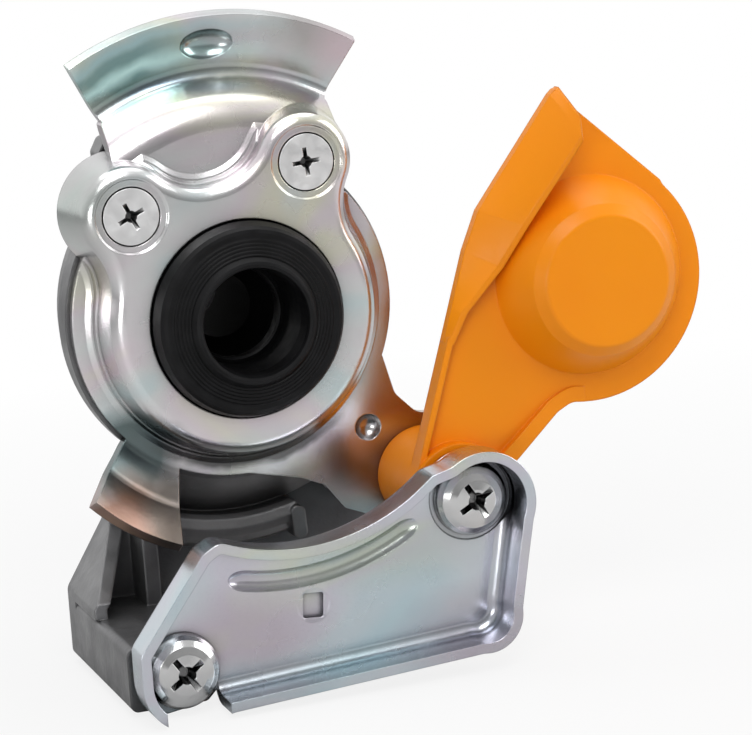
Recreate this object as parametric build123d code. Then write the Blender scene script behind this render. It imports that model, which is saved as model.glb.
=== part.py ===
"""Air-brake coupling head with a swing cover, in millimetres.

X points right, Z points up, and the coupling face looks towards -Y.
The origin is the point on the seal's axis where the rear air port's thread begins.
A height "n" is the distance in front of the pad's face, towards -Y.
"""
import os
from math import cos, radians, sin, tan

from build123d import *

os.makedirs("parts", exist_ok=True)

# overall layout
thread_to_pad = 58.9        # start of the port's thread to the pad's face
port_chamfer = 1.1
rear_face = thread_to_pad + port_chamfer
left_screw = (-21.9, 22.8)  # countersunk screws, as (x, z)
right_screw = (14.5, 29.7)
foot_screw = (-23.9, -63.8)
pivot = (38.0, -38.3)
cap_centre = (69.6, 0.6)
dome_centre = (69.7, 1.8)
dent_centre = (26.7, -27.3)
mark_centre = (3.9, -55.2)

# face plate
sheet = 2.5
flange_top = -9.0
flange_bottom = flange_top - sheet
flange_radius = 33.3
pad_ring_radius = 29.0
pad_lobe_radius = 11.4
pad_blend_radius = 11.0
pad_taper = 13.0
pad_edge_radius = 2.8
pad_foot_run = 1.8
plate_hole_radius = 20.0
neck_top = -4.6
neck_half_width = 23.6
neck_bend_at = 41.6
neck_bend_radius = 8.0
claw_crease_radius = 47.8
claw_crease_bend = 2.6
claw_crease_n = -13.2
claw_radius = 59.4
claw_rise = 4.4
claw_half_angle = 30.0
dimple_at = (-1.0, 53.2)
tab_radius = 46.8
tab_rise = 9.2
tab_knee_radius = 40.0
tab_knee_rise = 3.2
tab_corners = ((-23.0, -21.2), (-27.2, -25.9), (-35.0, -33.8), (-36, -48), (-18.2, -49.6), (-12.0, -22.0))
arm_radius = 12.5

# guide bracket
bracket_sheet = 2.0
bracket_back = 15.0
bracket_front = bracket_back + bracket_sheet
rim_front = 25.5
guide_radius = 41.0
groove_radius = 49.1
groove_angles = (259.0, 298.0)
groove_end = 4.6

# seal
seal_radius = 19.6
seal_root_radius = 22.6
seal_bore_radius = 10.4
seal_rim_n = 4.4
seal_lip_n = 6.2
seal_ridges = 5
seal_ridge_pitch = 0.72
seal_ridge_height = 0.26

# casting
pot_radius = 34.1
pot_back = -30.0
port_boss_radius = 17.0
port_minor_radius = 10.19
port_thread_length = 15.0
duct_radius = 6.6
shelf_overhang = 2.7
casting_left = -34.0
foot_top = -58.6
foot_bottom = -71.5
foot_right = -13.6
web_back = -30.0
web_front = -24.0
ledge_groove_radius = 42.8
ledge_width = 7.8
ledge_front = -15.6

# screws
csk_head_radius = 5.6
csk_core_radius = 2.5
csk_length = 16.0
pan_head_radius = 7.6
pan_head_height = 4.4
pan_core_radius = 3.4
pan_shank_radius = 4.0
thread_gap = 0.05

# pivot stack and cover
running_gap = 0.05
sleeve_radius = 5.4
washer_radius = 9.4
washer_thickness = 1.6
spring_wire = 1.4
hub_radius = 9.9
hub_front = 12.0
spring_floor = 3.0
cover_back = 6.8
cover_skin = 2.2
cover_front = cover_back + cover_skin
brim_radius = 24.9
dome_base_radius = 20.4
dome_top_radius = 13.2
dome_front = 18.8
cover_rib = 1.3
cover_wide_rib = 3.2
cover_rib_front = 10.8
wing_crest = 1.3


def plane_at(n):
    return Plane(origin=(0, -(thread_to_pad + n), 0), x_dir=(1, 0, 0), z_dir=(0, -1, 0))


def slab(sketch, back, front, taper=0):
    return extrude(plane_at(back) * sketch, amount=front - back, taper=taper)


def side_slab(points, left, right):
    """A solid between two X values, from (z, n) points of its side view."""
    side = shape(*[(-(thread_to_pad + n), z) for z, n in points])
    return extrude(Plane.YZ.offset(left) * side, amount=right - left)


def disc(centre, radius, back, front):
    return slab(Pos(*centre) * Circle(radius), back, front)


def shape(*points):
    return make_face(Polyline(*points, close=True))


def turned(points, centre=(0, 0)):
    """A solid of revolution from (radius, n) points, about an axis along Y."""
    plane = Plane(origin=(0, -thread_to_pad, 0), x_dir=(1, 0, 0), z_dir=(0, 0, -1))
    solid = revolve(plane * shape(*points), axis=Axis((0, 0, 0), (0, 1, 0)))
    return Pos(centre[0], 0, centre[1]) * solid


def polar(radius, angle):
    return (radius * cos(radians(angle)), radius * sin(radians(angle)))


def sector(start, end, inner, outer):
    """A flat ring sector between two angles measured from +X towards +Z."""
    steps = 4
    arc = [polar(outer * 1.1, start + (end - start) * i / steps) for i in range(steps + 1)]
    wedge = shape((0, 0), *arc)
    return wedge & (Circle(outer) - Circle(inner))


def front_edges(solid, n):
    """Edges that lie in the plane at height n."""
    return solid.edges().filter_by_position(Axis.Y, -(thread_to_pad + n) - 0.01, -(thread_to_pad + n) + 0.01)


def rounded(sketch, convex, concave):
    """Rounds a sketch's outer and inner corners."""
    if concave:
        sketch = offset(offset(sketch, concave), -concave)
    if convex:
        sketch = offset(offset(sketch, -convex), convex)
    return sketch


def cross_recess(centre, radius, floor_n, top_n, angle):
    """A cross-shaped driver recess with narrowing arms."""
    width = radius * 0.3
    cross = Rectangle(2 * radius, width) + Rectangle(width, 2 * radius) + Circle(radius * 0.42)
    cross = Pos(*centre) * Rot(0, 0, angle) * cross
    return slab(cross, top_n, floor_n, taper=14)


# face plate
def pad_outline(inset):
    ring = Circle(pad_ring_radius - inset)
    lobes = Pos(*left_screw) * Circle(pad_lobe_radius - inset)
    lobes += Pos(*right_screw) * Circle(pad_lobe_radius - inset)
    return rounded(ring + lobes, 0, pad_blend_radius)


def pad_form(inset, base_n, top_n, edge_radius):
    """The raised pad, narrowing towards its face."""
    spread = tan(radians(pad_taper)) * (flange_top - base_n)
    solid = slab(pad_outline(inset - spread), base_n, top_n, taper=pad_taper)
    return fillet(front_edges(solid, top_n), edge_radius)


def pad_foot(base_n):
    """The hollow foot where the pad's wall meets a flat at height base_n, as two slopes."""
    narrowing = tan(radians(pad_taper)) * (base_n - flange_top)
    low = slab(pad_outline(narrowing - pad_foot_run), base_n, base_n + 0.5, taper=65)
    return low + slab(pad_outline(narrowing - 0.4 * pad_foot_run), base_n, base_n + 1.5, taper=27)


def bent_sheet(line, bends):
    """A sheet behind a line of (radius, n) points; each bend is rounded by the radius of its front face."""
    corners = [Vector(*point) for point in line]
    ways = [(end - start).normalized() for start, end in zip(corners, corners[1:])]
    backs = [Vector(way.Y, -way.X) for way in ways]
    under = [corners[0] + backs[0] * sheet]
    for corner, one, two in zip(corners[1:-1], backs, backs[1:]):
        under.append(corner + (one + two) * (sheet / (1 + one.dot(two))))
    under.append(corners[-1] + backs[-1] * sheet)
    profile = make_face(Polyline(*corners, *reversed(under), close=True))
    for i, bend in enumerate(bends, start=1):
        outwards = ways[i - 1].X * ways[i].Y - ways[i - 1].Y * ways[i].X < 0
        for point, radius in ((corners[i], bend), (under[i], bend - sheet if outwards else bend + sheet)):
            profile = fillet(profile.vertices().sort_by_distance(point)[0], radius)
    plane = Plane(origin=(0, -thread_to_pad, 0), x_dir=(1, 0, 0), z_dir=(0, 0, -1))
    return revolve(plane * profile, axis=Axis((0, 0, 0), (0, 1, 0)))


def neck_and_claw():
    """The sheet that steps back from the pad and turns forward into the arc claw."""
    line = [
        (24.0, neck_top),
        (neck_bend_at, neck_top),
        (claw_crease_radius, claw_crease_n),
        (claw_radius, claw_crease_n + claw_rise),
    ]
    claw = sector(90.4 - claw_half_angle, 90 + claw_half_angle, 46.0, 62.0)
    corner = polar(46.5, 90 - claw_half_angle)
    neck = shape((-neck_half_width, 24), (neck_half_width - 0.4, 24), corner,
                 (0, 52), (-corner[0], corner[1]), (-neck_half_width, 40))
    outline = offset(offset(claw + neck, -0.8), 0.8)
    flat = bent_sheet(line, (neck_bend_radius, claw_crease_bend)) & slab(outline, -24, 0)
    # the pad's foot fades out where the neck bends away
    fade = turned([(0, neck_top - 1), (neck_bend_at - 2.6, neck_top - 1), (neck_bend_at - 2.6, neck_top - 0.2),
                   (neck_bend_at - 7, neck_top + 1.6), (0, neck_top + 1.6)])
    return flat + (pad_foot(neck_top) & slab(neck, neck_top - 1, 0) & fade)


def bent_tab():
    """The lower-left tab, bent forward from the flange in two soft steps."""
    line = [
        (28.0, flange_top),
        (flange_radius + 0.6, flange_top),
        (tab_knee_radius, flange_top + tab_knee_rise),
        (tab_radius, flange_top + tab_rise),
    ]
    cutter = rounded(shape(*tab_corners) & (Circle(tab_radius + 4) - Circle(26.0)), 2.2, 0)
    return bent_sheet(line, (3.0, 7.0)) & slab(cutter, -20, 6)


def plate_arm_outline(inset):
    arm = shape((-13, -29.2), (-4, -32.2), (11.4, -35.8), (16.6, -38.0), (20.6, -43.5),
                (29.5, -47.2), pivot, (48.4, -31.2), (38.2, -26.3), (33.0, -21.0), (30.6, -12.0), (0, 0))
    arm += Pos(*pivot) * Circle(arm_radius)
    return offset(rounded(arm, 2.0, 4.0), -inset)


def face_plate():
    flange = Circle(flange_radius) & (Pos(0, -20) * Rectangle(90, 84))
    flat = rounded(flange, 2.0, 0) + plate_arm_outline(0)
    plate = slab(flat, flange_bottom, flange_top)
    plate += pad_foot(flange_top) & slab(flat, flange_bottom, 0)
    plate += pad_form(0, flange_bottom, 0, pad_edge_radius)
    plate += bent_tab()
    plate += neck_and_claw()
    plate -= pad_form(sheet, flange_bottom - 2, -sheet, 0.8)
    plate -= disc((0, 0), plate_hole_radius, -30, 5)
    for centre in (left_screw, right_screw):
        # coined seat, countersink and clearance hole
        plate -= turned([(0, 0.1), (7.6, 0.1), (7.1, -0.35), (csk_head_radius + 0.3, -0.35),
                         (csk_head_radius + 0.3, -0.7), (csk_core_radius + 0.25, -sheet), (0, -sheet)], centre)
    plate -= disc(pivot, pan_shank_radius + 0.3, -30, 0)
    # closed-position dent, claw dimple
    dent = Pos(dent_centre[0], -(thread_to_pad + flange_top + 1.1), dent_centre[1]) * Sphere(3.0)
    plate -= dent
    return claw_dimple(plate)


def claw_dimple(plate):
    """A long shallow dimple pressed backwards in the middle of the claw."""
    n = claw_crease_n + 0.5 * claw_rise + 1.3
    place = Pos(dimple_at[0], -(thread_to_pad + n), dimple_at[1])
    back_form = place * scale(Sphere(1), (7.4, 5.2, 4.4))
    plate += back_form & slab(Circle(80), -30, n - 3.6)
    return plate - place * scale(Sphere(1), (5.9, 3.6, 3.5))


# body casting
def body_casting():
    body = turned([(0, flange_bottom), (pot_radius, flange_bottom), (pot_radius, -17),
                   (pot_radius - 2.5, pot_back + 2.0), (pot_radius - 4.7, pot_back), (0, pot_back)])
    # lugs under the countersunk screws
    for centre in (left_screw, right_screw):
        body += disc(centre, 7.0, -21, flange_bottom)
    # rear boss with the air port
    body += turned([(0, -20), (24, -20), (24, pot_back - 1), (20, pot_back - 6),
                    (port_boss_radius, pot_back - 12), (port_boss_radius, -rear_face + 1),
                    (port_boss_radius - 1, -rear_face), (0, -rear_face)])
    # raised face inside the pad
    body += pad_form(sheet + 0.7, flange_bottom, -sheet, 0.8)
    # shelf under the neck
    shelf = Circle(pot_radius + shelf_overhang) & (Pos(-2, 40) * Rectangle(40, 24))
    body += slab(rounded(shelf, 1.0, 0), -16, neck_top - sheet - 0.3) - pad_form(-0.4, -20, 1, 1.0)
    lug = shape((-23.4, 22), (-24.0, 34.0), (-22.4, 36.9), (-14, 36.9), (-12, 22))
    body += slab(rounded(lug, 1.4, 0), -20, -13.5)
    body += right_arm()
    body += lower_web()
    body += foot()
    # openings
    body -= turned([(0, 1), (seal_root_radius + 0.1, 1), (seal_root_radius + 0.1, -8.5),
                    (seal_bore_radius + 3.4, -8.5), (seal_bore_radius + 3.4, -12),
                    (seal_bore_radius, -12), (seal_bore_radius, -17), (duct_radius, -19),
                    (duct_radius, -50), (0, -50)])
    thread_end = -thread_to_pad + port_thread_length
    body -= turned([(0, -rear_face - 1), (port_minor_radius + port_chamfer + 1, -rear_face - 1),
                    (port_minor_radius + port_chamfer, -rear_face), (port_minor_radius, -thread_to_pad),
                    (port_minor_radius, thread_end), (duct_radius, thread_end + 0.8), (0, thread_end + 0.8)])
    for centre in (left_screw, right_screw):
        body -= disc(centre, csk_core_radius, -22, 0)
    body -= disc(foot_screw, pan_core_radius, -8, bracket_back + 1)
    body -= disc(pivot, pan_core_radius, -27, 0)
    return body


def right_arm():
    """The arm from the pot to the pivot post, under the plate's arm."""
    arm = slab(plate_arm_outline(1.0), -17.5, flange_bottom)
    arm += disc(pivot, 10.4, web_back, flange_bottom)
    rib = shape((20, -20), (24, -16), (46, -36), (34, -46), (18, -33))
    arm += slab(rounded(rib, 2.0, 0), -27, -15)
    return arm


def lower_web():
    """The rear web between the pot, the foot and the arm, with its front ledge."""
    web = shape((casting_left, foot_bottom), (casting_left, foot_top + 1.8), (casting_left + 8.4, -43.4),
                (-16, -20), (18, -14), (44, -38), (40, -48), (16, -62), (-8, foot_bottom))
    body = slab(rounded(web, 3.0, 3.0), web_back, web_front)
    # floor sloping away from the plate, down to a groove
    floor = turned([(20, flange_bottom - 1), (pot_radius + 0.6, flange_bottom - 1),
                    (ledge_groove_radius + 0.4, ledge_front - 4.4), (ledge_groove_radius + 0.4, web_front),
                    (20, web_front)])
    body += floor & slab(shape((-17, -20), (24, -14), (24, -44), (-22, -60)), web_front, 0)
    # rounded ledge in front of the groove, with a raised right end
    ledge_radius = ledge_groove_radius + ledge_width
    mid = ledge_groove_radius + ledge_width / 2
    ledge = turned([(ledge_groove_radius, web_front), (ledge_groove_radius, ledge_front - 4.8),
                    (ledge_groove_radius + 0.4, ledge_front - 1.4), (ledge_groove_radius + 1.3, ledge_front - 0.4),
                    (mid - 0.6, ledge_front), (mid + 1.0, ledge_front - 0.4), (ledge_radius - 1.2, ledge_front - 2.0),
                    (ledge_radius, ledge_front - 4.5), (ledge_radius, web_front)])
    band = Circle(ledge_radius + 2) - Circle(ledge_groove_radius)
    plan = band & shape((-17, -20), (13, -14), (13, -ledge_radius - 9.4), (-22, -ledge_radius - 9.4))
    body += ledge & slab(rounded(plan, min(2.5, 0.33 * ledge_width), 0), web_front, 0)
    end_rib = shape((10.8, -42.6), (13.8, -43.4), (14.2, -49.6), (11.2, -50.4))
    body += slab(rounded(end_rib, 1.2, 0), web_front, ledge_front + 0.8)
    # left wall, rising towards the foot, and the rib in the pocket
    wall = shape((casting_left, foot_top), (casting_left, foot_top + 1.8), (casting_left + 8.4, -43.4),
                 (-16, -20), (-13, -20), (casting_left + 10.6, -45), (casting_left + 2.6, foot_top + 1.6),
                 (casting_left + 2.6, foot_top))
    rise = side_slab([(foot_top - 1, web_back), (foot_top - 1, -7.6), (foot_top + 3, -8.6),
                      (foot_top + 15.6, web_front - 0.5), (foot_top + 15.6, web_back)], casting_left - 20, 0)
    body += slab(wall, web_front - 1, -4) & rise
    body += slab(shape((-21.4, -32), (-18.2, -32), (-18.2, -60), (-21.4, -60)), web_front, -14.5)
    return body


def foot():
    """The block that carries the bracket's left screw."""
    block = shape((casting_left, foot_bottom), (casting_left, foot_top), (foot_right - 1.4, foot_top - 0.8),
                  (foot_right, foot_top - 2.4), (foot_right - 1.4, foot_bottom + 3.5),
                  (foot_right - 4.9, foot_bottom))
    block = rounded(block, 1.6, 0)
    return slab(block, web_back, bracket_back)


# seal
def seal_ring():
    """Face seal: flanged root under the plate, ribbed domed face."""
    ridges = []
    for i in range(seal_ridges):
        radius = 16.5 - seal_ridge_pitch * i
        face_n = seal_rim_n - 0.2 + (16.8 - radius) * 0.24
        ridges += [(radius, face_n), (radius - 0.2, face_n + seal_ridge_height),
                   (radius - 0.42, face_n + seal_ridge_height)]
    profile = [
        (seal_bore_radius, -8.4),
        (seal_root_radius, -8.4),
        (seal_root_radius, -sheet - 0.05),
        (seal_radius, -sheet - 0.05),
        (seal_radius, 0.8),
        (18.9, seal_rim_n - 1.0),
        (18.3, seal_rim_n - 0.2),
        (17.6, seal_rim_n),
        (16.8, seal_rim_n - 0.2),
        *ridges,
        (seal_bore_radius + 2.6, seal_lip_n - 1.1),
        (seal_bore_radius + 1.8, seal_lip_n - 0.2),
        (seal_bore_radius + 1.2, seal_lip_n),
        (seal_bore_radius + 0.6, seal_lip_n - 0.2),
        (seal_bore_radius + 0.3, seal_lip_n - 1.0),
        (seal_bore_radius, 2.0),
    ]
    return turned(profile)


def seal_backing_ring():
    """Stiff flanged ring in the duct mouth behind the seal."""
    outer = seal_bore_radius + 3.35
    inner = seal_bore_radius - 1.2
    return turned([(inner, -11.55), (inner + 0.4, -11.95), (outer - 0.4, -11.95), (outer, -11.55), (outer, -8.45),
                   (inner + 0.4, -8.45), (inner, -8.85)])


# fasteners
def plate_screw(centre, angle):
    """Countersunk screw; its core stands in for the thread."""
    core = csk_core_radius - thread_gap
    depth = csk_head_radius - core
    top = -0.3
    screw = turned([(0, top), (csk_head_radius, top), (csk_head_radius, top - 0.35),
                    (core, top - 0.35 - depth * 0.56), (core, top - csk_length + 1), (core - 0.9, top - csk_length),
                    (0, top - csk_length)], centre)
    return screw - cross_recess(centre, 2.9, top - 2.4, top + 0.02, angle)


def pan_screw(centre, seat_n, length, angle):
    """Pan-head screw; its core stands in for the thread."""
    core = pan_core_radius - thread_gap
    r = pan_head_radius
    h = pan_head_height
    head = [(0, seat_n + h), (r * 0.3, seat_n + h * 0.985), (r * 0.54, seat_n + h * 0.93), (r * 0.73, seat_n + h * 0.82),
            (r * 0.88, seat_n + h * 0.62), (r * 0.97, seat_n + h * 0.36), (r, seat_n + 0.5), (r, seat_n)]
    shank = [(core, seat_n), (core, seat_n - length + 1.2), (core - 1.1, seat_n - length), (0, seat_n - length)]
    screw = turned(head + shank, centre)
    return screw - cross_recess(centre, 4.3, seat_n + 1.2, seat_n + h + 0.02, angle)


def pivot_sleeve():
    """Tube between the plate's arm and the washer; the cover turns on it."""
    washer_back = bracket_back - washer_thickness
    return turned([(pan_shank_radius, flange_top), (sleeve_radius, flange_top), (sleeve_radius, washer_back),
                   (pan_shank_radius, washer_back)], pivot)


def pivot_washer():
    back = bracket_back - washer_thickness
    return turned([(pan_shank_radius, back), (washer_radius - 0.4, back), (washer_radius, back + 0.4),
                   (washer_radius, bracket_back - 0.4), (washer_radius - 0.4, bracket_back),
                   (pan_shank_radius, bracket_back)], pivot)


def cover_spring():
    """Wire spring that presses the hub on the plate's arm."""
    back = spring_floor + spring_wire / 2 + 0.02
    front = bracket_back - washer_thickness - spring_wire / 2 - 0.02
    radius = sleeve_radius + 0.35 + spring_wire / 2
    turns = 3
    path = Helix(pitch=(front - back) / turns, height=front - back, radius=radius)
    section = Plane(origin=path @ 0, z_dir=path % 0) * RegularPolygon(spring_wire / 2, 12)
    wire = sweep(section, path=path, is_frenet=True)
    return Pos(pivot[0], -(thread_to_pad + back), pivot[1]) * Rot(90, 0, 0) * wire


# guide bracket
def bracket_outline():
    corner = 10.8
    body = shape((-33.9, -64), (-33.9, -57.4), (-20.2, -39.4), (-14.2, -36.0), (-8.9, -39.9),
                 (34, -29.0), (38, -27.5), (48.8, -38.3), (44.6, -60), (38.0, -68.0), (34, -68.3),
                 (-17, -71.4), (-23.9, -73.8))
    body += Pos(*pivot) * Circle(corner)
    body += Pos(*foot_screw) * Circle(10.0)
    body += shape((36.5, -48), (46.9, -48), (44.6, -60.5), (38, -64))
    body += Pos(37.4, -61.0) * Circle(7.3)
    body -= Circle(guide_radius)
    return rounded(body, 3.2, 6.0)


def groove(tube_radius, centre_n, cap_n, above):
    """A ring-sector bead following the guide edge, with round ends."""
    plane = Plane(origin=(0, -thread_to_pad, 0), x_dir=(1, 0, 0), z_dir=(0, 0, -1))
    ring = revolve(plane * (Pos(groove_radius, centre_n) * Circle(tube_radius)), axis=Axis((0, 0, 0), (0, 1, 0)))
    bead = ring & slab(sector(*groove_angles, 30, 60), 0, 40)
    for angle in groove_angles:
        x, z = polar(groove_radius, angle)
        bead += Pos(x, -(thread_to_pad + centre_n), z) * Rot(0, 270 - angle, 0) * scale(
            Sphere(1), (groove_end, tube_radius, tube_radius))
    return bead & (slab(Circle(90), cap_n, 40) if above else slab(Circle(90), 0, cap_n))


def bracket_plate():
    outline = bracket_outline()
    tray = slab(outline, bracket_back, rim_front)
    tray = fillet(front_edges(tray, bracket_back), 4.2)
    inner = slab(offset(outline, -bracket_sheet), bracket_front, rim_front + 2)
    inner = fillet(front_edges(inner, bracket_front), 2.3)
    tray -= inner
    # rim and floor cut away round the foot screw
    notch = shape((-29.6, -60), (-29.6, -90), (-16.8, -90), (-16.8, -66), (-18, -60))
    tray -= slab(notch, bracket_front, rim_front + 1)
    tray -= slab(shape((-29.6, -90), (-29.6, -72.4), (-23.9, -71.6), (-17.6, -68.8), (-16.8, -69.0), (-16.8, -90)),
                 bracket_back - 1, rim_front + 1)
    tray += groove(4.3, 17.7, bracket_back + 0.5, False)
    tray -= groove(2.5, 18.3, bracket_back + 0.4, True)
    mark = rounded(Rectangle(4.2, 5.0), 0.5, 0)
    tray -= slab(Pos(*mark_centre) * Rot(0, 0, -4) * mark, bracket_front - 1.2, bracket_front + 2)
    tray -= turned([(0, bracket_front - 0.2), (3.0, bracket_front - 0.2), (3.7, bracket_front + 0.05),
                    (0, bracket_front + 0.05)], mark_centre)
    # coined seats under both screws
    tray -= disc(pivot, pan_head_radius + 1.0, bracket_front - 0.25, bracket_front + 2)
    tray -= disc(foot_screw, pan_head_radius + 0.3, bracket_front, bracket_front + 5)
    tray -= disc(pivot, pan_shank_radius + 0.2, 10, 20)
    tray -= disc(foot_screw, pan_shank_radius + 0.2, 10, 20)
    return tray


# swing cover
def cover_outline():
    tip = (65.3, 40.6)
    plan = shape((29.4, -34.0), (43.2, 9.6), (46.6, 17.4), (63.4, 38.9), tip, (67.0, 37.0),
                 (86.6, 19.4), cap_centre, (64.6, -23.7), (61.0, -25.4), (43.6, -40.4), pivot)
    plan += Pos(*cap_centre) * Circle(brim_radius)
    plan += Pos(*pivot) * Circle(hub_radius)
    return rounded(plan, 1.0, 4.0)


def wing_section(outer, crest, crest_n, hollow):
    """A cut across the wing: outer edge, slanted face, narrow crest, steep inner side."""
    start = Vector(*outer)
    top = Vector(*crest)
    way = (top - start).normalized()
    if hollow:
        cut = [(start + way * 2.2, cover_back - 1), (top + way * 0.2, crest_n - 1.9), (top + way * 0.5, cover_back - 1)]
    else:
        cut = [(start, cover_back + 0.2), (start, cover_front), (top, crest_n), (top + way * wing_crest, crest_n),
               (top + way * (wing_crest + 0.7), cover_back + 0.2)]
    corners = [Vector(point.X, -(thread_to_pad + n), point.Y) for point, n in cut]
    return Face(Wire.make_polygon(corners, close=True))


def thumb_wing(hollow):
    """The slanted wing along the cover's outer edge, rising to a crest near the tip."""
    cuts = [((43.2, 9.6), (48.7, 6.6), 12.5), ((46.6, 17.4), (53.5, 14.6), 15.0), ((63.4, 38.9), (65.0, 31.7), 20.0)]
    if not hollow:
        cuts = [((37.5, -8.1), (37.8, -8.2), cover_rib_front), ((39.6, -1.6), (40.9, -2.0), 11.4)] + cuts
        cuts += [((65.3, 40.3), (65.9, 35.4), 17.6)]
    faces = [wing_section(*cut, hollow) for cut in cuts]
    wing = loft(faces[:2], ruled=True)
    for one, two in zip(faces[1:], faces[2:]):
        wing += loft([one, two], ruled=True)
    return wing


def swing_cover():
    outline = cover_outline()
    cover = slab(outline, cover_back, cover_front)
    # stiffening ribs along the arm, the right one sinking into the brim
    left_zone = shape((20, -36), (38, -44), (44, -30), (42, -7), (30, -7))
    right_zone = shape((38, -36), (44.0, -46), (70, -29), (67.4, -21), (60, -20), (44, -30))
    ribs = slab((outline - offset(outline, -cover_rib)) & left_zone, cover_front, cover_rib_front)
    ribs += slab((outline - offset(outline, -cover_wide_rib)) & right_zone, cover_front, cover_rib_front)
    sink = [(20, cover_back), (20, cover_rib_front), (52, cover_rib_front), (67.5, cover_front + 0.1), (67.5, cover_back)]
    side = shape(*[(x, -(thread_to_pad + n)) for x, n in sink])
    cover += ribs & extrude(Plane(origin=(0, 0, -60)) * side, amount=60)
    # dome
    dome = turned([(0, cover_back), (dome_base_radius + 1.2, cover_back), (dome_base_radius, cover_front),
                   (dome_top_radius + 2.2, dome_front - 1.9), (dome_top_radius, dome_front), (0, dome_front)],
                  dome_centre)
    cover += fillet(front_edges(dome, dome_front), 1.2)
    # hub down to the plate's arm
    cover += disc(pivot, hub_radius, flange_top + running_gap, hub_front)
    cover += thumb_wing(False)
    # hollows from behind
    cover -= thumb_wing(True)
    cover -= turned([(0, cover_back - 1), (dome_base_radius - 1.6, cover_back - 1),
                     (dome_base_radius - 1.8, cover_front - 0.8), (dome_top_radius + 0.2, dome_front - 3.6),
                     (dome_top_radius - 1.8, dome_front - 2.2), (0, dome_front - 2.2)], dome_centre)
    # bore and spring well
    cover -= disc(pivot, sleeve_radius + running_gap, flange_top - 5, hub_front + 5)
    cover -= disc(pivot, sleeve_radius + spring_wire + 1.0, spring_floor, hub_front + 5)
    return cover


parts = {
    "body_casting": body_casting(),
    "face_plate": face_plate(),
    "seal_ring": seal_ring(),
    "seal_backing_ring": seal_backing_ring(),
    "plate_screw_left": plate_screw(left_screw, 25),
    "plate_screw_right": plate_screw(right_screw, 5),
    "bracket_plate": bracket_plate(),
    "bracket_screw": pan_screw(foot_screw, bracket_front, 24, 35),
    "pivot_screw": pan_screw(pivot, bracket_front - 0.25, 42, 30),
    "pivot_sleeve": pivot_sleeve(),
    "pivot_washer": pivot_washer(),
    "cover_spring": cover_spring(),
    "cover": swing_cover(),
}

for name, solid in parts.items():
    export_step(solid, f"parts/{name}.step")
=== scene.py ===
"""Dresses the coupling head for a studio picture: finishes, the port's thread and the stage."""
from math import cos, radians, sin, tau

import bpy
from mathutils import Matrix, Vector


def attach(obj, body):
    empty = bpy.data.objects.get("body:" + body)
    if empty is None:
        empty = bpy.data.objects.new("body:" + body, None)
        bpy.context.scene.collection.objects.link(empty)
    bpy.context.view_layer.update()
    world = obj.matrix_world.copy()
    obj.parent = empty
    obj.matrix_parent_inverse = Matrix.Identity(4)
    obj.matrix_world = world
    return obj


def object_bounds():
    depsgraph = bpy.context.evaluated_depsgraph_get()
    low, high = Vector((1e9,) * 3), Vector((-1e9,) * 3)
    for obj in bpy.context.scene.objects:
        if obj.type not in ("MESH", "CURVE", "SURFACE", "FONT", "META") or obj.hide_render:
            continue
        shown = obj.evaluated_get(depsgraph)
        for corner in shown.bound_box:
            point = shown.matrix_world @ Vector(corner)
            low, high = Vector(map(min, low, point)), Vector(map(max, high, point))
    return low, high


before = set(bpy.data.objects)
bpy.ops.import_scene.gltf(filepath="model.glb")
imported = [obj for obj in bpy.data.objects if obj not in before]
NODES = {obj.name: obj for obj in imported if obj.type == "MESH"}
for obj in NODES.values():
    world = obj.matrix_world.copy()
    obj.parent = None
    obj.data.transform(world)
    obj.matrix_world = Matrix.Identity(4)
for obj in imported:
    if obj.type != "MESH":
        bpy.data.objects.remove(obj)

bl_info = {
    "name": "Coupling head finishes",
    "version": (1, 0, 0),
    "blender": (4, 5, 0),
    "location": "3D View > Sidebar > Coupling",
    "description": "Finishes and stage for a trailer air-brake coupling head with a swing cover",
    "category": "Object",
}

FRAME_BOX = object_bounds()

# Finishes. Distances are in metres, and patterns are in patches to the metre.
FINE_SAMPLES = 6                  # rays of each edge and hollow sample
HOLLOW, OPEN = 0.38, 0.88         # ambient occlusion at which a hollow is darkest, and clear
CLOUD_LOW, CLOUD_HIGH = 0.3, 0.7  # places on a noise pattern between which a finish drifts
TINT_AND_LIGHT_RAGGED = 0.004              # how far the edge of a tint or painted light wanders
TINT_AND_LIGHT_PATTERN = 110               # pattern of that wandering
TINT_AND_LIGHT_REACH = 0.1                 # distance from its place at which the ramp of a tint or painted light ends

# How much distances along X, Y and Z count from the place of a tint or painted light.
FROM_AXIS = (1, 0, 1)             # from the seal's axis
ON_SHEET = (1, 0.3, 1)            # from a point on a sheet, where depth counts for less

# Zinc's colours: place on the cloud, and shares of the plating's red, green and blue.
ZINC_DRIFT = (
    (0.28, (0.80, 0.98, 1.00)),
    (0.42, (1.00, 1.00, 1.00)),
    (0.52, (1.04, 0.93, 0.98)),
    (0.62, (1.07, 1.03, 0.86)),
    (0.74, (0.94, 1.00, 1.04)),
)

# Sockets of a colour Mix node.
MIX_FACTOR, MIX_FIRST, MIX_SECOND, MIX_RESULT = 0, 6, 7, 2

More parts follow.
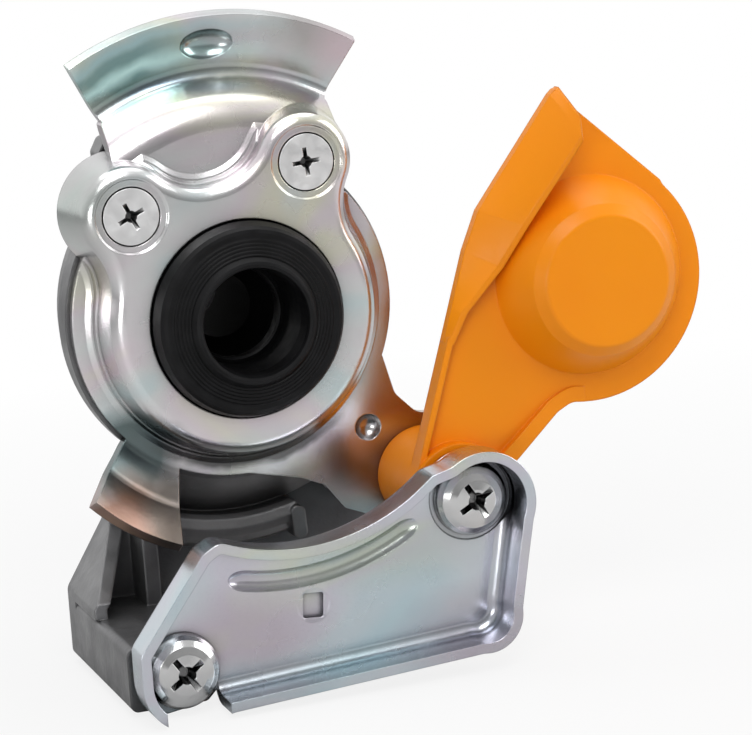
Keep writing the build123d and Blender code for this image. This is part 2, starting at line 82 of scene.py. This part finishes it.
# Stage.
FLOOR_RADIUS = 3.0
FLOOR_GAP = 0.0005                # the floor lies this far below the head
FLOOR_GREY = (0.6, 0.6, 0.6)
FLOOR_FADE = (0.12, 0.30)         # distances between which the floor turns white to the camera
FLOOR_GLOW = (0.84, 1.0)          # share of white at the first and the second of them
SOFT_LIGHT = 0.36                 # light from all round
ROOM_LEAN = (0.0, 0.42, 0.40)     # the room is brighter this way
ROOM_DARK = (0.02, 0.22)          # place on the way round and brightness at the open front
ROOM_WHITE = (0.75, 1.0)          # the same where the room is plain white
LAMPS_AIM = (0.01, -0.06, 0.0)
LAMPS = (                         # name, place, width and height, watts
    ("key_softbox", (-0.15, -0.65, 0.70), (0.5, 0.5), 4.6),
    ("top_softbox", (0.05, 0.1, 0.8), (0.9, 0.6), 3.4),
    ("front_fill", (-0.50, -0.70, 0.02), (0.3, 0.15), 1.3),
    ("right_softbox", (0.75, -0.35, 0.30), (0.4, 0.6), 3.1),
)
SENSOR_WIDTH = 36.0               # millimetres
PICTURE_WIDTH = 752               # pixels
FOCAL_LENGTH = 2982.2             # pixels


class HeadSizes(bpy.types.PropertyGroup):
    """Sizes of the pieces that are added to the frame, and of the stage."""

    edge_softness: bpy.props.FloatProperty(
        name="Edge softness", description="Radius that the eye sees on stamped and cast edges",
        default=0.00035, min=0.0, unit="LENGTH")
    thread_pitch: bpy.props.FloatProperty(
        name="Thread pitch", description="Pitch of the air port's thread",
        default=0.0015, unit="LENGTH")
    thread_radius: bpy.props.FloatProperty(
        name="Thread radius", description="Radius of the wall that the thread's ridges stand on",
        default=0.01019, unit="LENGTH")
    thread_length: bpy.props.FloatProperty(
        name="Thread length", description="Threaded depth of the air port",
        default=0.015, unit="LENGTH")
    camera_distance: bpy.props.FloatProperty(
        name="Camera distance", description="From the lens to the middle of the picture",
        default=0.6, unit="LENGTH")
    camera_target: bpy.props.FloatVectorProperty(
        name="Camera target", description="Point in the middle of the picture",
        default=(0.026116, -0.0589, -0.013237), subtype="TRANSLATION", unit="LENGTH")
    camera_azimuth: bpy.props.FloatProperty(
        name="Camera azimuth", description="Turn of the camera round the head, seen from above",
        default=radians(-19.459), subtype="ANGLE")
    camera_elevation: bpy.props.FloatProperty(
        name="Camera elevation", description="Height of the camera above the head's level",
        default=radians(11.425), subtype="ANGLE")
    camera_roll: bpy.props.FloatProperty(
        name="Camera roll", description="Turn of the picture about the line of sight",
        default=radians(-3.767), subtype="ANGLE")


class HeadColours(bpy.types.PropertyGroup):
    """Colours of the finishes."""

    casting: bpy.props.FloatVectorProperty(
        name="Casting", description="Dark grey die casting",
        subtype="COLOR", default=(0.18, 0.18, 0.183))
    plate: bpy.props.FloatVectorProperty(
        name="Plate zinc", description="Bright zinc of the face plate",
        subtype="COLOR", default=(0.66, 0.67, 0.67))
    bracket: bpy.props.FloatVectorProperty(
        name="Bracket zinc", description="Bright zinc of the guide bracket",
        subtype="COLOR", default=(0.56, 0.61, 0.65))
    rubber: bpy.props.FloatVectorProperty(
        name="Seal rubber", description="Black rubber of the face seal",
        subtype="COLOR", default=(0.0045, 0.0045, 0.005))
    steel: bpy.props.FloatVectorProperty(
        name="Dull steel", description="Backing ring, sleeve and spring",
        subtype="COLOR", default=(0.05, 0.05, 0.052))
    screws: bpy.props.FloatVectorProperty(
        name="Screw zinc", description="Bright zinc of the screws",
        subtype="COLOR", default=(0.6, 0.6, 0.6))
    cover: bpy.props.FloatVectorProperty(
        name="Cover", description="Orange-yellow moulding",
        subtype="COLOR", default=(0.75, 0.225, 0.002))


def sizes():
    return bpy.context.scene.coupling_sizes


def colours():
    return bpy.context.scene.coupling_colours


def shade(colour, *shares):
    """A colour with all of its channels scaled by one share, or each by its own."""
    return tuple(c * share for c, share in zip(colour, shares * 3 if len(shares) == 1 else shares))


def spot(centre, whole, gone, stretch=ON_SHEET, rest=0):
    """Place of a tint or painted light: whole out to some millimetres from a point, then fading to
    a rest.
    """
    return centre, stretch, (whole, 1), (gone, rest)


def ring(*stops):
    """Place of a tint or painted light round the seal's axis, with its share at distances in
    millimetres.
    """
    return (0, 0, 0), FROM_AXIS, *stops


class Nodes:
    """A node tree under construction."""

    def __init__(self, tree):
        self.tree = tree

    def feed(self, socket, value):
        """Links a node's output to a socket, or sets the socket's own value."""
        if isinstance(value, bpy.types.NodeSocket):
            self.tree.links.new(value, socket)
        elif socket.type == "RGBA":
            socket.default_value = (*value, 1.0)
        else:
            socket.default_value = value

    def node(self, kind, inputs, **settings):
        """Adds a node, with its settings and what feeds its inputs."""
        made = self.tree.nodes.new(kind)
        for key, value in settings.items():
            setattr(made, key, value)
        for socket, value in inputs.items():
            self.feed(made.inputs[socket], value)
        return made

    def calculate(self, operation, *values):
        """Result of a Math node, whose values are numbers or outputs."""
        made = self.node("ShaderNodeMath", dict(enumerate(values)), operation=operation)
        return made.outputs["Value"]

    def distance(self, vector):
        """Length of a vector."""
        made = self.node("ShaderNodeVectorMath", {0: vector}, operation="LENGTH")
        return made.outputs["Value"]

    def ramp(self, factor, *stops):
        """Colours or greys at their places along a factor."""
        made = self.node("ShaderNodeValToRGB", {"Fac": factor})
        elements = made.color_ramp.elements
        while len(elements) < len(stops):
            elements.new(0.5)
        for element, (position, value) in zip(elements, stops):
            element.position = position
            element.color = (*(value if hasattr(value, "__len__") else (value,) * 3), 1.0)
        return made.outputs["Color"]

    def blend_shaders(self, factor, first, second):
        """Mixes what two shader nodes give."""
        inputs = {0: factor, 1: first.outputs[0], 2: second.outputs[0]}
        return self.node("ShaderNodeMixShader", inputs)

    def ray_share(self, *kinds):
        """1 where any of the ray kinds looks at the surface."""
        path = self.node("ShaderNodeLightPath", {})
        total = path.outputs[kinds[0]]
        for kind in kinds[1:]:
            total = self.calculate("MAXIMUM", total, path.outputs[kind])
        return total


class Finish(Nodes):
    """One material under construction, with the means that the finishes share."""

    def __init__(self, name, colour, roughness, metallic=0.0):
        self.material = bpy.data.materials.new(name)
        self.material.use_nodes = True
        super().__init__(self.material.node_tree)
        self.shader = self.tree.nodes["Principled BSDF"]
        self.place = self.node("ShaderNodeTexCoord", {}).outputs["Object"]
        self.put("Base Color", colour)
        self.put("Roughness", roughness)
        self.put("Metallic", metallic)
        self.normal = None

    def put(self, socket, value):
        """Feeds a socket of the material's own shader."""
        self.feed(self.shader.inputs[socket], value)

    def noise(self, scale, detail, stretch=(1, 1, 1), distortion=0.0):
        """Cloudy pattern from 0 to 1; scale is in patches to the metre."""
        mapping = self.node("ShaderNodeMapping", {"Vector": self.place, "Scale": stretch})
        pattern = self.node("ShaderNodeTexNoise", {
            "Vector": mapping.outputs["Vector"], "Scale": scale, "Detail": detail,
            "Distortion": distortion})
        return pattern.outputs["Fac"]

    def drift(self, scale, detail, low, high, stretch=(1, 1, 1)):
        """Greys or colours that drift between two over a cloudy pattern."""
        clouds = self.noise(scale, detail, stretch)
        return self.ramp(clouds, (CLOUD_LOW, low), (CLOUD_HIGH, high))

    def mix(self, factor, first, second, mode="MIX"):
        """Blends two colours by a factor."""
        made = self.node(
            "ShaderNodeMix", {MIX_FACTOR: factor, MIX_FIRST: first, MIX_SECOND: second},
            data_type="RGBA", blend_type=mode)
        return made.outputs[MIX_RESULT]

    def soft_edges(self, share=1.0):
        """Rounds the look of edges, by a share of the head's edge softness."""
        made = self.node("ShaderNodeBevel", {"Radius": sizes().edge_softness * share},
                         samples=FINE_SAMPLES)
        self.normal = made.outputs["Normal"]

    def bump(self, pattern, strength, depth):
        """Relief that comes after the soft edges."""
        made = self.node("ShaderNodeBump", {
            "Height": pattern, "Strength": strength, "Distance": depth, "Normal": self.normal})
        self.normal = made.outputs["Normal"]

    def paint_hollow_shade(self, colour, reach, dark):
        """Paints shade into a colour: darker in corners and recesses, by ambient occlusion."""
        open_air = self.node("ShaderNodeAmbientOcclusion", {"Distance": reach},
                             samples=FINE_SAMPLES)
        shadow = self.ramp(open_air.outputs["AO"], (HOLLOW, dark), (OPEN, 1.0))
        return self.mix(1.0, colour, shadow, "MULTIPLY")

    def around(self, centre, stretch, *stops):
        """Greys at distances in millimetres from a place on the piece, with an uneven edge."""
        mapping = self.node("ShaderNodeMapping", {
            "Vector": self.place, "Scale": stretch,
            "Location": [-c * k for c, k in zip(centre, stretch)]})
        distance = self.distance(mapping.outputs["Vector"])
        wandering = self.noise(TINT_AND_LIGHT_PATTERN, 3)
        uneven = self.calculate("MULTIPLY_ADD", wandering, TINT_AND_LIGHT_RAGGED, distance)
        along = self.calculate("MULTIPLY", uneven, 1 / TINT_AND_LIGHT_REACH)
        return self.ramp(along, *(
            ((mm / 1000 + TINT_AND_LIGHT_RAGGED / 2) / TINT_AND_LIGHT_REACH, value) for mm, value in stops))

    def overlap(self, share, *places):
        """The share that something has where all of the places overlap."""
        for place in places:
            share = self.calculate("MULTIPLY", self.around(*place), share)
        return share

    def tint_or_painted_light(self, tint, colour, share, *places):
        """Lays a colour over a tint where the places overlap."""
        return self.mix(self.overlap(share, *places), tint, colour)

    def dress(self, *names):
        """Ends the material and gives it to CAD nodes."""
        if self.normal:
            self.put("Normal", self.normal)
        for name in names:
            mesh = NODES[name].data
            mesh.materials.clear()
            mesh.materials.append(self.material)


def zinc(name, colour, tints_and_painted_light, hollow_reach=0.006):
    """Bright zinc plating: satin, faintly wavy, with the colours of its passivation, the tints and
    painted light that it is given, and painted shade in its hollows.
    """
    made = Finish(name, colour, 0.26, 1.0)
    clouds = made.noise(24, 3, (1.0, 1.0, 1.6), distortion=0.8)
    tint = made.ramp(clouds, *((at, shade(colour, *shares)) for at, shares in ZINC_DRIFT))
    for tint_or_painted_light in tints_and_painted_light:
        tint = made.tint_or_painted_light(tint, *tint_or_painted_light)
    specks = made.ramp(made.noise(2600, 2), (0.30, 0.95), (0.45, 1.0))
    tint = made.mix(1.0, tint, specks, "MULTIPLY")
    # Painted shade: the plating is darkened in its hollows.
    made.put("Base Color", made.paint_hollow_shade(tint, hollow_reach, 0.16))
    made.put("Roughness", made.drift(60, 4, 0.18, 0.31))
    made.soft_edges()
    made.bump(made.noise(70, 2), strength=0.14, depth=0.0005)
    made.bump(made.noise(1500, 3), strength=0.04, depth=0.0002)
    return made


class COUPLING_OT_wind_port_thread(bpy.types.Operator):
    """Wind the thread's ridges on the wall of the rear air port"""

    bl_idname = "coupling.wind_port_thread"
    bl_label = "Wind the port's thread"

    def execute(self, context):
        pitch, wall = sizes().thread_pitch, sizes().thread_radius
        turns = int(sizes().thread_length / pitch) - 1
        ridge = pitch * 0.42              # from the middle of a ridge to its crest
        sunk = ridge * 0.45               # the middle lies this far inside the wall
        start = -(turns + 0.6) * pitch    # along the port's axis
        deselect()
        bpy.ops.mesh.primitive_circle_add(vertices=4, radius=ridge, fill_type="NOTHING",
                                          location=(wall + sunk, start, 0))
        thread = context.object
        thread.name = "port_thread"
        bpy.ops.object.transform_apply(location=True, rotation=True, scale=True)
        winding = thread.modifiers.new("winding", "SCREW")
        winding.axis = "Y"
        winding.angle = tau
        winding.screw_offset = pitch
        winding.iterations = turns
        winding.steps = winding.render_steps = 48
        winding.use_merge_vertices = False
        bpy.ops.object.modifier_apply(modifier="winding")
        bpy.ops.object.mode_set(mode="EDIT")
        bpy.ops.mesh.select_all(action="SELECT")
        bpy.ops.mesh.remove_doubles(threshold=1e-6)
        bpy.ops.mesh.fill_holes(sides=4)
        bpy.ops.mesh.normals_make_consistent(inside=False)
        bpy.ops.object.mode_set(mode="OBJECT")
        bpy.ops.object.shade_smooth_by_angle(angle=radians(30))
        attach(thread, "head")
        made = Finish("cut_thread", shade(colours().casting, 1.6), 0.35, 0.9)
        made.put("Roughness", made.drift(400, 3, 0.28, 0.45, stretch=(1, 3, 1)))
        # Painted shade in the thread's grooves.
        made.put("Base Color", made.paint_hollow_shade(made.drift(300, 2, 0.2, 0.32), 0.001, 0.3))
        thread.data.materials.append(made.material)
        return {"FINISHED"}


class COUPLING_OT_finish_casting(bpy.types.Operator):
    """Give the body its dark, finely grained die-cast skin"""

    bl_idname = "coupling.finish_casting"
    bl_label = "Finish the casting"

    def execute(self, context):
        grey = colours().casting
        made = Finish("cast_body", grey, 0.38, 0.8)
        patches = made.ramp(
            made.noise(45, 5), (0.35, shade(grey, 0.78, 0.78, 0.79)), (0.62, shade(grey, 1.25)))
        # The duct's wall, seen through the seal, is painted near black for the shade inside the
        # bore, and made fully rough.
        shaded_duct = made.overlap(1.0, spot((0, -0.035, 0), 13, 15.5))
        # Painted shade in the casting's hollows.
        skin = made.paint_hollow_shade(patches, 0.008, 0.45)
        made.put("Base Color", made.mix(shaded_duct, skin, (0.004, 0.004, 0.004)))
        made.put("Roughness", made.mix(shaded_duct, made.drift(200, 3, 0.32, 0.48), (1.0, 1.0, 1.0)))
        made.soft_edges(2)
        made.bump(made.noise(900, 4), strength=0.22, depth=0.0003)
        made.dress("body_casting")
        return {"FINISHED"}


class COUPLING_OT_finish_plate(bpy.types.Operator):
    """Give the stamped face plate its bright zinc"""

    bl_idname = "coupling.finish_plate"
    bl_label = "Finish the face plate"

    def execute(self, context):
        claw = spot((-0.003, -0.060, 0.068), 24, 34, (0.5, 0.3, 1))
        claw_left = spot((-0.028, -0.060, 0.052), 8, 26, (0.6, 0.3, 1), rest=0.15)
        under_pad = spot((0.004, -0.060, -0.036), 10, 16, (0.45, 0.3, 1))
        tints_and_painted_light = [
            # Claw: teal slope with a painted highlight line and a bluish rim, a painted highlight
            # on its pale left end, painted shade in the fold where it rises, a warm painted
            # reflection on its right end, and the dimple.
            ((0.12, 0.25, 0.25), 0.95,
             ring((46.5, 0), (49.5, 1), (56, 0.9), (60.0, 0.3), (62, 0)), claw, claw_left),
            ((0.55, 0.80, 0.78), 0.95, ring((50.5, 0), (52.5, 1), (54.5, 0)), claw, claw_left),
            ((0.36, 0.56, 0.60), 0.6, ring((56, 0), (57.5, 1), (59.5, 0)), claw, claw_left),
            ((0.72, 0.86, 0.84), 0.9, spot((-0.035, -0.060, 0.050), 4, 9)),
            ((0.06, 0.12, 0.20), 0.9, ring((46.0, 0), (47.8, 1), (49.4, 0)), claw, claw_left),
            ((0.34, 0.31, 0.30), 0.7, spot((0.022, -0.060, 0.056), 5, 13), claw),
            ((0.62, 0.50, 0.54), 0.8, spot((0.027, -0.060, 0.050), 3, 9), claw),
            ((0.17, 0.085, 0.055), 0.95, spot((0.0018, -0.060, 0.0530), 1.5, 4.0)),
            # Lower-left tab: dark at its root, brown along it.
            ((0.09, 0.13, 0.13), 0.92, spot((-0.024, -0.060, -0.027), 7, 12)),
            ((0.19, 0.105, 0.07), 0.9, spot((-0.028, -0.057, -0.040), 7, 13, (0.8, 0.3, 1))),
            ((0.13, 0.115, 0.10), 0.9, spot((-0.016, -0.058, -0.038), 5, 10)),
            # Under the pad, painted reflections: a pale middle, a dark band of painted shade along
            # its foot, brown towards the arm.
            ((0.48, 0.60, 0.62), 0.6, spot((0.002, -0.075, -0.031), 6, 11, (0.5, 0.3, 1))),
            ((0.085, 0.085, 0.08), 0.85,
             ring((28.0, 0), (29.2, 1), (31.6, 1), (32.8, 0)), under_pad),
            ((0.16, 0.11, 0.07), 0.8, spot((0.026, -0.066, -0.034), 4, 9, (0.6, 0.3, 1))),
            # Painted reflections of the cover's orange on the arm and the right wall, and a
            # greenish left wall.
            ((0.40, 0.18, 0.03), 0.9, spot((0.045, -0.074, -0.025), 8, 17, (0.8, 0.4, 1))),
            ((0.46, 0.22, 0.07), 0.85, spot((0.036, -0.062, 0.008), 5, 9.5, (1.3, 0.3, 0.35))),
            ((0.36, 0.42, 0.38), 0.5, spot((-0.034, -0.066, 0.024), 5, 12, (1, 0.3, 0.5))),
        ]
        zinc("zinc_plate", colours().plate, tints_and_painted_light).dress("face_plate")
        return {"FINISHED"}


class COUPLING_OT_finish_bracket(bpy.types.Operator):
    """Give the guide bracket its bluish zinc"""

    bl_idname = "coupling.finish_bracket"
    bl_label = "Finish the guide bracket"

    def execute(self, context):
        tints_and_painted_light = [
            # Greenish to the right of the square mark, and faint pink along the lower edge.
            ((0.42, 0.50, 0.42), 0.4, spot((0.022, -0.082, -0.046), 5, 14, (0.5, 0.3, 1.5))),
            ((0.42, 0.34, 0.38), 0.5, spot((-0.010, -0.082, -0.060), 5, 14, (0.7, 0.3, 1))),
            ((0.42, 0.34, 0.40), 0.5, spot((0.040, -0.082, -0.066), 5, 12, (0.5, 0.3, 1))),
        ]
        made = zinc("zinc_bracket", colours().bracket, tints_and_painted_light, hollow_reach=0.003)
        made.dress("bracket_plate")
        return {"FINISHED"}


class COUPLING_OT_finish_screws(bpy.types.Operator):
    """Give the screws and the washer their bright plating"""

    bl_idname = "coupling.finish_screws"
    bl_label = "Finish the screws"

    def execute(self, context):
        for name, rough, bright, nodes in (
                ("pan_zinc", 0.16, 1.05, ("bracket_screw", "pivot_screw", "pivot_washer")),
                ("flush_zinc", 0.42, 1.35, ("plate_screw_left", "plate_screw_right"))):
            light = shade(colours().screws, bright)
            made = Finish(name, light, rough, 1.0)
            plating = made.drift(160, 3, shade(light, 0.86), light)
            # Painted shade round the heads.
            made.put("Base Color", made.paint_hollow_shade(plating, 0.0028, 0.10))
            made.put("Roughness", made.drift(500, 3, rough * 0.8, rough * 1.25))
            made.soft_edges(0.7)
            made.dress(*nodes)
        return {"FINISHED"}


class COUPLING_OT_finish_hidden_steel(bpy.types.Operator):
    """Give the backing ring, the sleeve and the spring their dull steel"""

    bl_idname = "coupling.finish_hidden_steel"
    bl_label = "Finish the inner steel"

    def execute(self, context):
        grey = colours().steel
        made = Finish("dull_steel", grey, 0.45, 1.0)
        made.put("Roughness", made.drift(700, 3, 0.36, 0.55))
        # Painted shade in the steel's hollows.
        made.put("Base Color", made.paint_hollow_shade(made.drift(300, 3, shade(grey, 0.8), grey), 0.01, 0.06))
        made.dress("seal_backing_ring", "pivot_sleeve", "cover_spring")
        return {"FINISHED"}


class COUPLING_OT_finish_seal(bpy.types.Operator):
    """Give the face seal its satin black rubber"""

    bl_idname = "coupling.finish_seal"
    bl_label = "Finish the seal"

    def execute(self, context):
        black = colours().rubber
        made = Finish("seal_rubber", black, 0.42)
        made.put("Specular IOR Level", 0.15)
        bloom = made.ramp(made.noise(220, 4), (0.35, shade(black, 0.7)), (0.75, shade(black, 1.5)))
        # Painted shade in the seal's grooves.
        made.put("Base Color", made.paint_hollow_shade(bloom, 0.006, 0.15))
        made.put("Roughness", made.drift(300, 4, 0.34, 0.5))
        made.soft_edges(0.4)
        made.bump(made.noise(1800, 3), strength=0.06, depth=0.0002)
        made.dress("seal_ring")
        return {"FINISHED"}


class COUPLING_OT_finish_cover(bpy.types.Operator):
    """Give the swing cover its glossy orange-yellow plastic"""

    bl_idname = "coupling.finish_cover"
    bl_label = "Finish the cover"

    def execute(self, context):
        orange = colours().cover
        made = Finish("cover_plastic", orange, 0.36)
        plastic = made.drift(
            30, 2, shade(orange, 0.97, 0.94, 1.0), shade(orange, 1.0, 1.05, 1.0))
        # Painted shade: a deeper orange in the cover's recesses.
        made.put("Base Color", made.paint_hollow_shade(plastic, 0.006, (0.96, 0.80, 0.6)))
        made.put("Specular IOR Level", 0.22)
        made.put("Subsurface Weight", 0.06)
        made.put("Subsurface Radius", (0.003, 0.001, 0.0002))
        made.put("Roughness", made.drift(240, 4, 0.3, 0.42))
        made.soft_edges(1.6)
        made.bump(made.noise(1400, 3), strength=0.05, depth=0.0002)
        made.dress("cover")
        return {"FINISHED"}


def deselect():
    if bpy.context.object and bpy.context.object.mode != "OBJECT":
        bpy.ops.object.mode_set(mode="OBJECT")
    bpy.ops.object.select_all(action="DESELECT")


def floor_paper():
    """Pale paper that keeps the head's shadow and fades to white for the camera."""
    paper = bpy.data.materials.new("studio_paper")
    paper.use_nodes = True
    made = Nodes(paper.node_tree)
    matt = made.tree.nodes["Principled BSDF"]
    made.feed(matt.inputs["Base Color"], FLOOR_GREY)
    made.feed(matt.inputs["Roughness"], 0.9)
    glow = made.node("ShaderNodeEmission", {"Strength": 1.0})
    middle = made.node("ShaderNodeTexCoord", {}).outputs["Object"]
    fade = made.node("ShaderNodeMapRange", {
        "Value": made.distance(middle), "From Min": FLOOR_FADE[0], "From Max": FLOOR_FADE[1],
        "To Min": FLOOR_GLOW[0], "To Max": FLOOR_GLOW[1]})
    share = made.calculate("MULTIPLY", made.ray_share("Is Camera Ray"), fade.outputs["Result"])
    surface = made.blend_shaders(share, matt, glow).outputs[0]
    made.feed(made.tree.nodes["Material Output"].inputs["Surface"], surface)
    return paper


def room_brightness(made):
    """What metal mirrors: white behind and above the head, greyer at the studio's open front."""
    way = made.node("ShaderNodeTexCoord", {}).outputs["Generated"]
    lean = made.node("ShaderNodeVectorMath", {0: way, 1: ROOM_LEAN}, operation="DOT_PRODUCT")
    along = made.calculate("ADD", lean.outputs["Value"], 0.5)
    return made.ramp(along, ROOM_DARK, ROOM_WHITE)


def studio_air():
    """Soft light from all round; metal mirrors the room, and the camera sees plain white."""
    world = bpy.data.worlds.new("studio_air")
    world.use_nodes = True
    made = Nodes(world.node_tree)
    air = made.tree.nodes["Background"]
    made.feed(air.inputs["Color"], (1, 1, 1))
    made.feed(air.inputs["Strength"], SOFT_LIGHT)
    room = made.node("ShaderNodeBackground", {"Color": room_brightness(made), "Strength": 1.0})
    white = made.node("ShaderNodeBackground", {"Color": (1, 1, 1), "Strength": 1.0})
    air = made.blend_shaders(made.ray_share("Is Glossy Ray"), air, room)
    air = made.blend_shaders(made.ray_share("Is Camera Ray", "Is Transmission Ray"), air, white)
    made.feed(made.tree.nodes["World Output"].inputs["Surface"], air.outputs[0])
    return world


def hang_lamp(name, place, size, watts):
    """Adds a soft rectangular lamp that looks at the head."""
    data = bpy.data.lights.new(name, "AREA")
    data.shape = "RECTANGLE"
    data.size, data.size_y = size
    data.energy = watts
    lamp = bpy.data.objects.new(name, data)
    bpy.context.scene.collection.objects.link(lamp)
    lamp.location = place
    way = Vector(LAMPS_AIM) - Vector(place)
    lamp.rotation_euler = way.to_track_quat("-Z", "Y").to_euler()


def photo_camera():
    """A camera that looks at the head as the photograph's did."""
    turn, rise, roll = sizes().camera_azimuth, sizes().camera_elevation, sizes().camera_roll
    sight = Vector((-sin(turn) * cos(rise), cos(turn) * cos(rise), -sin(rise)))
    right = Vector((cos(turn), sin(turn), 0))
    up = right.cross(sight)
    right, up = right * cos(roll) + up * sin(roll), up * cos(roll) - right * sin(roll)
    place = Vector(sizes().camera_target) - sight * sizes().camera_distance
    data = bpy.data.cameras.new("photo_camera")
    data.sensor_width = SENSOR_WIDTH
    data.lens = FOCAL_LENGTH * SENSOR_WIDTH / PICTURE_WIDTH
    camera = bpy.data.objects.new("photo_camera", data)
    bpy.context.scene.collection.objects.link(camera)
    camera.matrix_world = Matrix((
        (right.x, up.x, -sight.x, place.x),
        (right.y, up.y, -sight.y, place.y),
        (right.z, up.z, -sight.z, place.z),
        (0, 0, 0, 1)))
    return camera


class COUPLING_OT_set_stage(bpy.types.Operator):
    """Set the floor, the lamps, the white surroundings and the camera"""

    bl_idname = "coupling.set_stage"
    bl_label = "Set the stage"

    def execute(self, context):
        context.scene.view_settings.view_transform = "Standard"
        low, high = FRAME_BOX
        middle = (Vector(low) + Vector(high)) / 2
        deselect()
        bpy.ops.mesh.primitive_circle_add(
            vertices=96, radius=FLOOR_RADIUS, fill_type="NGON",
            location=(middle.x, middle.y, low[2] - FLOOR_GAP))
        floor = context.object
        floor.name = "studio_floor"
        floor.data.materials.append(floor_paper())
        context.scene.world = studio_air()
        for lamp in LAMPS:
            hang_lamp(*lamp)
        context.scene.camera = photo_camera()
        return {"FINISHED"}


OPERATORS = (
    COUPLING_OT_wind_port_thread,
    COUPLING_OT_finish_casting,
    COUPLING_OT_finish_plate,
    COUPLING_OT_finish_bracket,
    COUPLING_OT_finish_screws,
    COUPLING_OT_finish_hidden_steel,
    COUPLING_OT_finish_seal,
    COUPLING_OT_finish_cover,
    COUPLING_OT_set_stage,
)


class COUPLING_PT_panel(bpy.types.Panel):
    """Lists the steps in their order."""

    bl_idname = "COUPLING_PT_panel"
    bl_label = "Coupling head"
    bl_space_type = "VIEW_3D"
    bl_region_type = "UI"
    bl_category = "Coupling"

    def draw(self, context):
        for operator in OPERATORS:
            self.layout.operator(operator.bl_idname)


CLASSES = (HeadSizes, HeadColours, *OPERATORS, COUPLING_PT_panel)


def register():
    for cls in CLASSES:
        bpy.utils.register_class(cls)
    bpy.types.Scene.coupling_sizes = bpy.props.PointerProperty(type=HeadSizes)
    bpy.types.Scene.coupling_colours = bpy.props.PointerProperty(type=HeadColours)


def unregister():
    del bpy.types.Scene.coupling_colours
    del bpy.types.Scene.coupling_sizes
    for cls in reversed(CLASSES):
        bpy.utils.unregister_class(cls)


def main():
    register()
    for operator in OPERATORS:
        group, name = operator.bl_idname.split(".")
        getattr(getattr(bpy.ops, group), name)()


if __name__ == "__main__":
    main()
